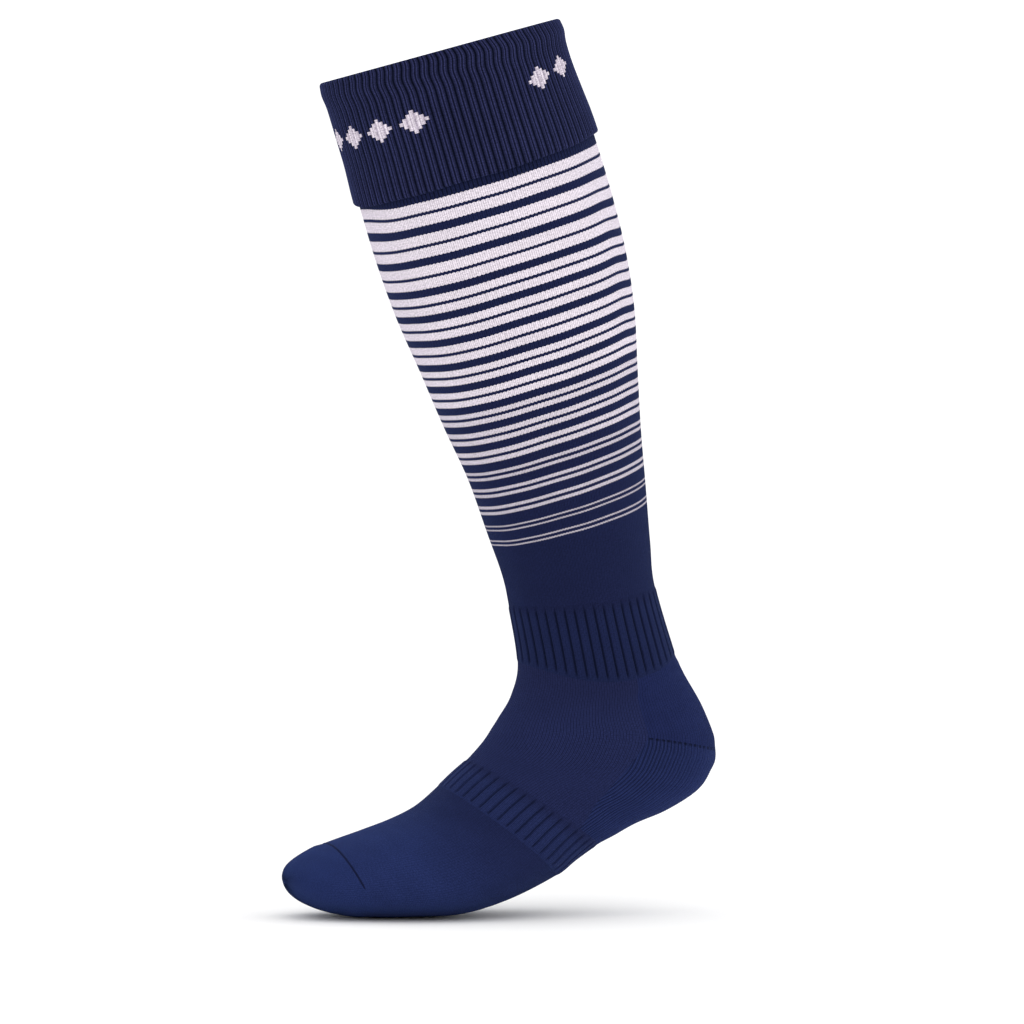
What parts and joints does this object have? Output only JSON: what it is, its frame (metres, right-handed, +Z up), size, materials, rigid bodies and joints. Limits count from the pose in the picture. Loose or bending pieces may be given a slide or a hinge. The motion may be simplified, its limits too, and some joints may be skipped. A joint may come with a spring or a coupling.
{
  "type": "sock",
  "caption": "Knee-high knitted sports sock as worn: turned-down ribbed cuff, striped leg, ribbed ankle and arch bands, shaped heel pocket, seamed toe",
  "frame": {"origin": "middle of the open mouth at the fold of the turned-down cuff, where the leg enters", "axes": "+Z up; the toe points to -X and the outer side of the foot faces -Y; the leg leans 17 degrees towards -X, as in mid-stride, and the foot points down by as much"},
  "size_m": [0.2425, 0.1378, 0.4932],
  "materials": {
    "cuff_rib_knit": "matt ribbed knit, navy with a small white knitted motif",
    "striped_leg_knit": "matt plain knit, white and navy stripes fading to navy",
    "ankle_rib_knit": "matt ribbed knit, navy",
    "instep_knit": "matt plain knit, navy",
    "heel_knit": "matt cushioned knit, navy",
    "sole_knit": "matt cushioned knit with fine ribs, navy",
    "arch_rib_knit": "matt ribbed knit, navy",
    "forefoot_knit": "matt plain knit, navy",
    "toe_knit": "matt cushioned knit, navy",
    "toe_seam_yarn": "matt linking yarn, navy"
  },
  "bodies": {
    "root": {"turned_cuff": "cuff_rib_knit", "leg": "striped_leg_knit", "ankle_band": "ankle_rib_knit", "instep": "instep_knit", "heel": "heel_knit", "sole": "sole_knit", "arch_band": "arch_rib_knit", "forefoot": "forefoot_knit", "toe_cap": "toe_knit", "toe_seam": "toe_seam_yarn"}
  },
  "joints": []
}
